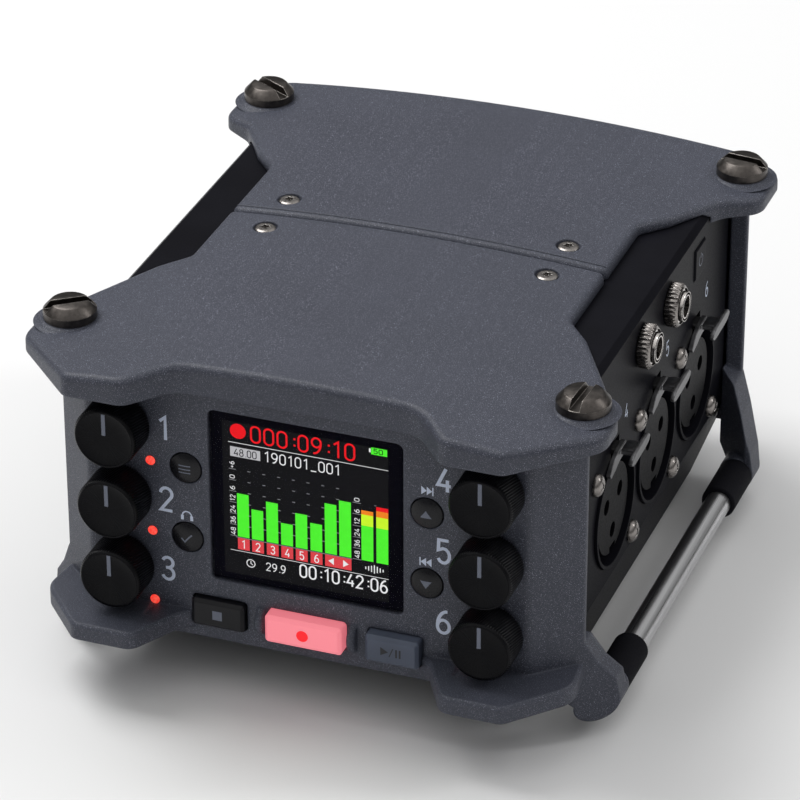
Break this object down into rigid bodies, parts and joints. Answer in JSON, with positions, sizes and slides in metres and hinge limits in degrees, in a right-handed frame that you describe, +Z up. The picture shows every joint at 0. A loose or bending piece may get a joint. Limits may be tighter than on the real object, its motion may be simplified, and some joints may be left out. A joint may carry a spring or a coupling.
{
  "type": "portable field recorder",
  "caption": "Compact multitrack audio field recorder with a metal-lobed case, level knobs, lit display, transport keys, latching side inputs and protective side bars.",
  "frame": {"origin": "middle of the recorder's box, on the surface that it stands on", "axes": "+X to the user's right, +Y from the control panel to the back, +Z up"},
  "size_m": [0.0976, 0.1198, 0.0629],
  "materials": {
    "casting": "satin fine-textured powder coat",
    "body_black": "satin moulded",
    "knob_black": "turned, satin",
    "button_black": "satin",
    "key_black": "satin",
    "key_grey": "translucent satin",
    "key_record": "backlit translucent",
    "window": "gloss",
    "screen": "gloss",
    "light_pipe": "lit red",
    "gunmetal": "blackened, bright edges",
    "nickel": "nickel plate",
    "bar_steel": "drawn and brushed",
    "rubber": "matte",
    "board": "solder mask",
    "component": "moulded",
    "brass": "machined",
    "cell": "printed sleeve",
    "sled": "moulded",
    "usb_steel": "stamped",
    "lever_steel": "dark plated"
  },
  "bodies": {
    "recorder": {"front_casting": "casting", "rear_casting": "casting", "body_shell": "body_black", "bottom_cover": "body_black", "bottom_screws": "gunmetal", "tripod_bush": "brass", "feet": "rubber", "display_window": "window", "display_gasket": "rubber", "display_module": "screen", "potentiometers": "component", "key_switches": "component", "light_pipes": "light_pipe", "input_contacts": "brass", "input_screws": "nickel", "usb_socket": "usb_steel", "card_socket": "usb_steel", "front_board": "board", "main_board": "board", "input_boards": "board", "battery_sled": "sled", "battery_cells": "cell", "battery_contacts": "nickel", "door_pin": "bar_steel", "thumb_screws": "gunmetal", "cover_screws": "nickel", "left_bar": "bar_steel", "right_bar": "bar_steel", "bar_collars": "rubber", "output_jacks": "nickel", "jack_nuts": "nickel", "left_input_shells": "body_black", "right_input_shells": "body_black", "left_input_inserts": "body_black", "right_input_inserts": "body_black"},
    "knob_1": {"knob_1": "knob_black"},
    "knob_2": {"knob_2": "knob_black"},
    "knob_3": {"knob_3": "knob_black"},
    "knob_4": {"knob_4": "knob_black"},
    "knob_5": {"knob_5": "knob_black"},
    "knob_6": {"knob_6": "knob_black"},
    "input_lever_1": {"input_lever_1": "lever_steel"},
    "input_lever_2": {"input_lever_2": "lever_steel"},
    "input_lever_3": {"input_lever_3": "lever_steel"},
    "input_lever_4": {"input_lever_4": "lever_steel"},
    "input_lever_5": {"input_lever_5": "lever_steel"},
    "input_lever_6": {"input_lever_6": "lever_steel"},
    "menu_button": {"menu_button": "button_black"},
    "enter_button": {"enter_button": "button_black"},
    "up_button": {"up_button": "button_black"},
    "down_button": {"down_button": "button_black"},
    "stop_key": {"stop_key": "key_black"},
    "record_key": {"record_key": "key_record"},
    "play_key": {"play_key": "key_grey"},
    "power_button": {"power_button": "body_black"},
    "volume_wheel": {"volume_wheel": "knob_black"},
    "battery_door": {"battery_door": "body_black"},
    "door_latch": {"door_latch": "key_black"},
    "card_door": {"card_door": "body_black"}
  },
  "joints": [
    {"name": "knob_1_turn", "type": "hinge", "parent": "recorder", "child": "knob_1", "pos_m": [-0.0311, -0.0494, 0.0476], "axis": [0, 1, 0], "range_deg": [-150, 150]},
    {"name": "knob_2_turn", "type": "hinge", "parent": "recorder", "child": "knob_2", "pos_m": [-0.0311, -0.0494, 0.03474], "axis": [0, 1, 0], "range_deg": [-150, 150]},
    {"name": "knob_3_turn", "type": "hinge", "parent": "recorder", "child": "knob_3", "pos_m": [-0.0311, -0.0494, 0.02188], "axis": [0, 1, 0], "range_deg": [-150, 150]},
    {"name": "knob_4_turn", "type": "hinge", "parent": "recorder", "child": "knob_4", "pos_m": [0.0311, -0.0494, 0.0476], "axis": [0, 1, 0], "range_deg": [-150, 150]},
    {"name": "knob_5_turn", "type": "hinge", "parent": "recorder", "child": "knob_5", "pos_m": [0.0311, -0.0494, 0.03474], "axis": [0, 1, 0], "range_deg": [-150, 150]},
    {"name": "knob_6_turn", "type": "hinge", "parent": "recorder", "child": "knob_6", "pos_m": [0.0311, -0.0494, 0.02188], "axis": [0, 1, 0], "range_deg": [-150, 150]},
    {"name": "menu_press", "type": "slide", "parent": "recorder", "child": "menu_button", "axis": [0, 1, 0], "range_m": [0, 0.0005], "stiffness_N_per_m": 800, "springref_m": -0.0005},
    {"name": "enter_press", "type": "slide", "parent": "recorder", "child": "enter_button", "axis": [0, 1, 0], "range_m": [0, 0.0005], "stiffness_N_per_m": 800, "springref_m": -0.0005},
    {"name": "up_press", "type": "slide", "parent": "recorder", "child": "up_button", "axis": [0, 1, 0], "range_m": [0, 0.0005], "stiffness_N_per_m": 800, "springref_m": -0.0005},
    {"name": "down_press", "type": "slide", "parent": "recorder", "child": "down_button", "axis": [0, 1, 0], "range_m": [0, 0.0005], "stiffness_N_per_m": 800, "springref_m": -0.0005},
    {"name": "stop_press", "type": "slide", "parent": "recorder", "child": "stop_key", "axis": [0, 1, 0], "range_m": [0, 0.0005], "stiffness_N_per_m": 900, "springref_m": -0.0005},
    {"name": "record_press", "type": "slide", "parent": "recorder", "child": "record_key", "axis": [0, 1, 0], "range_m": [0, 0.0005], "stiffness_N_per_m": 900, "springref_m": -0.0005},
    {"name": "play_press", "type": "slide", "parent": "recorder", "child": "play_key", "axis": [0, 1, 0], "range_m": [0, 0.0005], "stiffness_N_per_m": 900, "springref_m": -0.0005},
    {"name": "power_press", "type": "slide", "parent": "recorder", "child": "power_button", "axis": [-1, 0, 0], "range_m": [0, 0.0004], "stiffness_N_per_m": 900, "springref_m": -0.0005},
    {"name": "volume_turn", "type": "hinge", "parent": "recorder", "child": "volume_wheel", "pos_m": [-0.043, -0.0209, 0.0504], "axis": [-1, 0, 0], "range_deg": [-150, 150]},
    {"name": "input_lever_1_press", "type": "hinge", "parent": "recorder", "child": "input_lever_1", "pos_m": [-0.0385, -0.0194, 0.0407], "axis": [0, -1, 0], "range_deg": [0, 6], "stiffness_Nm_per_rad": 0.05, "springref_deg": -6.88},
    {"name": "input_lever_2_press", "type": "hinge", "parent": "recorder", "child": "input_lever_2", "pos_m": [-0.0385, 0.0026, 0.0407], "axis": [0, -1, 0], "range_deg": [0, 6], "stiffness_Nm_per_rad": 0.05, "springref_deg": -6.88},
    {"name": "input_lever_3_press", "type": "hinge", "parent": "recorder", "child": "input_lever_3", "pos_m": [-0.0385, 0.0246, 0.0407], "axis": [0, -1, 0], "range_deg": [0, 6], "stiffness_Nm_per_rad": 0.05, "springref_deg": -6.88},
    {"name": "input_lever_4_press", "type": "hinge", "parent": "recorder", "child": "input_lever_4", "pos_m": [0.0385, -0.0194, 0.0407], "axis": [0, 1, 0], "range_deg": [0, 6], "stiffness_Nm_per_rad": 0.05, "springref_deg": -6.88},
    {"name": "input_lever_5_press", "type": "hinge", "parent": "recorder", "child": "input_lever_5", "pos_m": [0.0385, 0.0026, 0.0407], "axis": [0, 1, 0], "range_deg": [0, 6], "stiffness_Nm_per_rad": 0.05, "springref_deg": -6.88},
    {"name": "input_lever_6_press", "type": "hinge", "parent": "recorder", "child": "input_lever_6", "pos_m": [0.0385, 0.0246, 0.0407], "axis": [0, 1, 0], "range_deg": [0, 6], "stiffness_Nm_per_rad": 0.05, "springref_deg": -6.88},
    {"name": "battery_door_open", "type": "hinge", "parent": "recorder", "child": "battery_door", "pos_m": [0, 0.0533, 0.0124], "axis": [-1, 0, 0], "range_deg": [0, 95]},
    {"name": "door_latch_slide", "type": "slide", "parent": "battery_door", "child": "door_latch", "axis": [0, 0, -1], "range_m": [0, 0.002], "stiffness_N_per_m": 250, "springref_m": -0.002},
    {"name": "card_door_open", "type": "hinge", "parent": "recorder", "child": "card_door", "pos_m": [-0.041, 0.0266, 0.0496], "axis": [0, -1, 0], "range_deg": [0, 90]}
  ]
}
